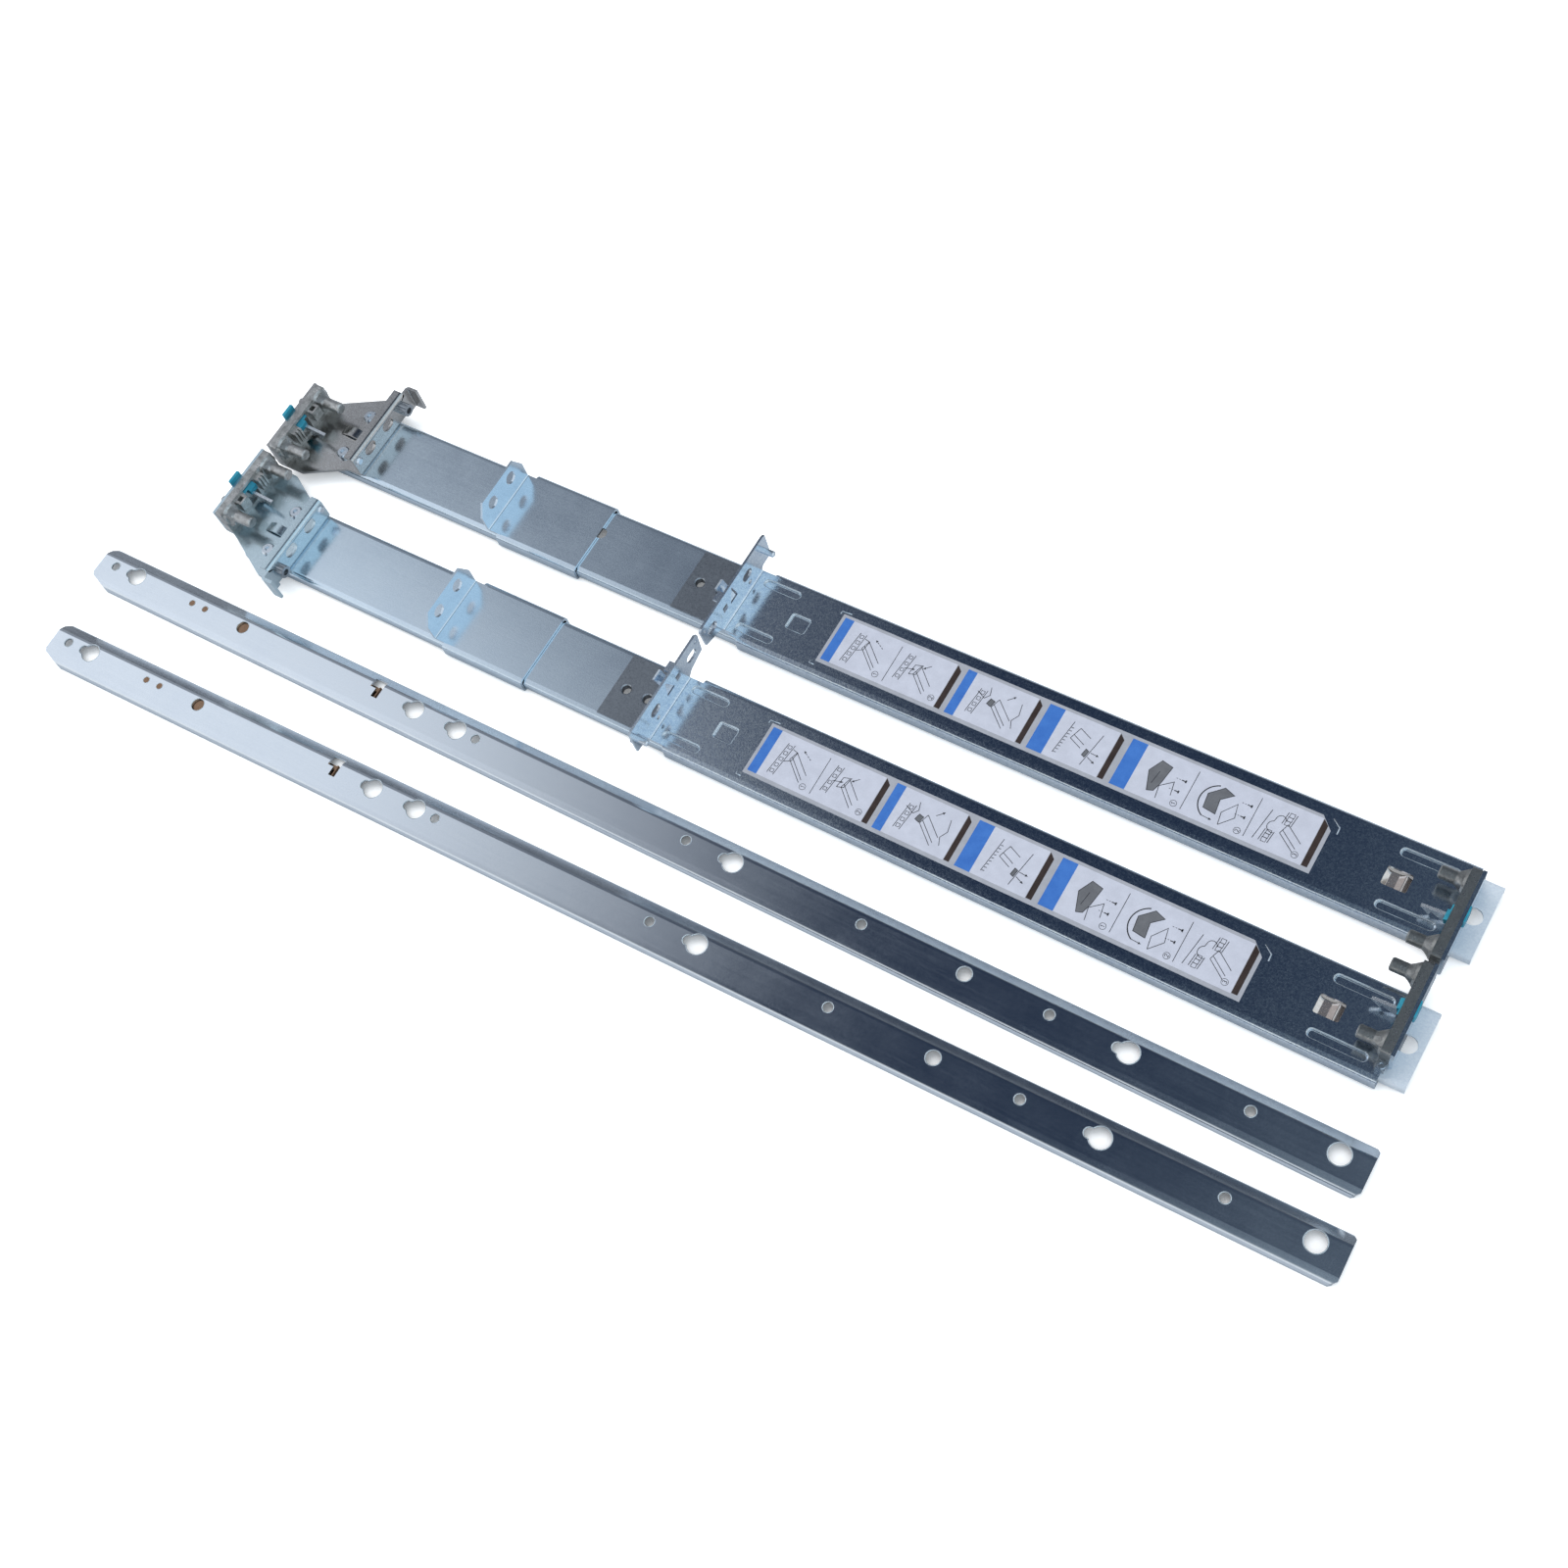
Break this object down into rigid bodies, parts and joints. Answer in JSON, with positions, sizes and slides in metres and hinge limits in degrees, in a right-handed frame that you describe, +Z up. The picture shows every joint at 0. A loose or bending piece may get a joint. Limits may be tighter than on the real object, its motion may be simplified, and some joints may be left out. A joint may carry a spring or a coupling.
{
  "type": "static server rail kit",
  "caption": "Static rack rail kit: mirrored telescoping outer rails with sprung post latches, and keyhole inner rails for the server's sides.",
  "frame": {"origin": "centre of the kit's footprint, on the surface that the rails lie on", "axes": "+X towards the front latches of the outer rails, +Y from the inner rails to the left outer rail, +Z up"},
  "size_m": [0.701, 0.2117, 0.0287],
  "materials": {
    "zinc_sheet": "blue zinc plated steel sheet, satin",
    "casting": "bare zinc die casting, dull warm grey",
    "button": "moulded cyan plastic",
    "label": "printed film label",
    "fastener": "bright zinc plated",
    "spring_steel": "spring steel with a warm tint"
  },
  "bodies": {
    "left_outer_rail": {"left_centre_tab_screw": "fastener", "left_front_bracket_plate": "zinc_sheet", "left_front_casting": "casting", "left_front_clamp_screw": "fastener", "left_front_latch_pin": "fastener", "left_front_latch_spring": "spring_steel", "left_front_track_lip": "zinc_sheet", "left_instruction_label": "label", "left_outer_channel": "zinc_sheet", "left_window_leaf_spring": "spring_steel"},
    "left_extension": {"left_extension_channel": "zinc_sheet", "left_rear_bracket": "zinc_sheet", "left_rear_captive_nut": "fastener", "left_rear_casting": "casting", "left_rear_latch_pin": "fastener", "left_rear_latch_spring": "spring_steel", "left_rear_locating_stud": "fastener", "left_rear_plate_screws": "fastener", "left_slide_plate": "zinc_sheet"},
    "left_sleeve_bracket": {"left_sleeve": "zinc_sheet"},
    "left_front_latch": {"left_front_latch_button": "button", "left_front_latch_hook": "zinc_sheet"},
    "left_rear_latch": {"left_rear_latch_button": "button", "left_rear_latch_hook": "zinc_sheet"},
    "right_outer_rail": {"right_centre_tab_screw": "fastener", "right_front_bracket_plate": "zinc_sheet", "right_front_casting": "casting", "right_front_clamp_screw": "fastener", "right_front_latch_pin": "fastener", "right_front_latch_spring": "spring_steel", "right_front_track_lip": "zinc_sheet", "right_instruction_label": "label", "right_outer_channel": "zinc_sheet", "right_window_leaf_spring": "spring_steel"},
    "right_extension": {"right_extension_channel": "zinc_sheet", "right_rear_bracket": "zinc_sheet", "right_rear_captive_nut": "fastener", "right_rear_casting": "casting", "right_rear_latch_pin": "fastener", "right_rear_latch_spring": "spring_steel", "right_rear_locating_stud": "fastener", "right_rear_plate_screws": "fastener", "right_slide_plate": "zinc_sheet"},
    "right_sleeve_bracket": {"right_sleeve": "zinc_sheet"},
    "right_front_latch": {"right_front_latch_button": "button", "right_front_latch_hook": "zinc_sheet"},
    "right_rear_latch": {"right_rear_latch_button": "button", "right_rear_latch_hook": "zinc_sheet"},
    "inner_rail_a_set": {"inner_rail_a": "zinc_sheet", "inner_rail_a_lock_rivets": "fastener", "inner_rail_a_lock_spring": "spring_steel"},
    "inner_rail_b_set": {"inner_rail_b": "zinc_sheet", "inner_rail_b_lock_rivets": "fastener", "inner_rail_b_lock_spring": "spring_steel"}
  },
  "joints": [
    {"name": "left_extension_slide", "type": "slide", "parent": "left_outer_rail", "child": "left_extension", "axis": [-1, 0, 0], "range_m": [0, 0.257]},
    {"name": "left_sleeve_slide", "type": "slide", "parent": "left_extension", "child": "left_sleeve_bracket", "axis": [1, 0, 0], "range_m": [-0.079, 0.054]},
    {"name": "left_front_latch_pivot", "type": "hinge", "parent": "left_outer_rail", "child": "left_front_latch", "pos_m": [0.33144, 0.06425, 0.0189], "axis": [0, 1, 0], "range_deg": [0, 12], "stiffness_Nm_per_rad": 0.05, "springref_deg": -5.73},
    {"name": "left_rear_latch_pivot", "type": "hinge", "parent": "left_extension", "child": "left_rear_latch", "pos_m": [-0.29056, 0.06425, 0.0189], "axis": [0, -1, 0], "range_deg": [0, 12], "stiffness_Nm_per_rad": 0.05, "springref_deg": -5.73},
    {"name": "right_extension_slide", "type": "slide", "parent": "right_outer_rail", "child": "right_extension", "axis": [-1, 0, 0], "range_m": [0, 0.257]},
    {"name": "right_sleeve_slide", "type": "slide", "parent": "right_extension", "child": "right_sleeve_bracket", "axis": [1, 0, 0], "range_m": [-0.091, 0.042]},
    {"name": "right_front_latch_pivot", "type": "hinge", "parent": "right_outer_rail", "child": "right_front_latch", "pos_m": [0.33044, 0.01855, 0.0189], "axis": [0, 1, 0], "range_deg": [0, 12], "stiffness_Nm_per_rad": 0.05, "springref_deg": -5.73},
    {"name": "right_rear_latch_pivot", "type": "hinge", "parent": "right_extension", "child": "right_rear_latch", "pos_m": [-0.29156, 0.01855, 0.0189], "axis": [0, -1, 0], "range_deg": [0, 12], "stiffness_Nm_per_rad": 0.05, "springref_deg": -5.73},
    {"name": "right_outer_rail_lift", "type": "slide", "parent": "left_outer_rail", "child": "right_outer_rail", "axis": [0, 0, 1], "range_m": [0, 0.06]},
    {"name": "inner_rail_a_lift", "type": "slide", "parent": "left_outer_rail", "child": "inner_rail_a_set", "axis": [0, 0, 1], "range_m": [0, 0.06]},
    {"name": "inner_rail_b_lift", "type": "slide", "parent": "left_outer_rail", "child": "inner_rail_b_set", "axis": [0, 0, 1], "range_m": [0, 0.06]}
  ]
}
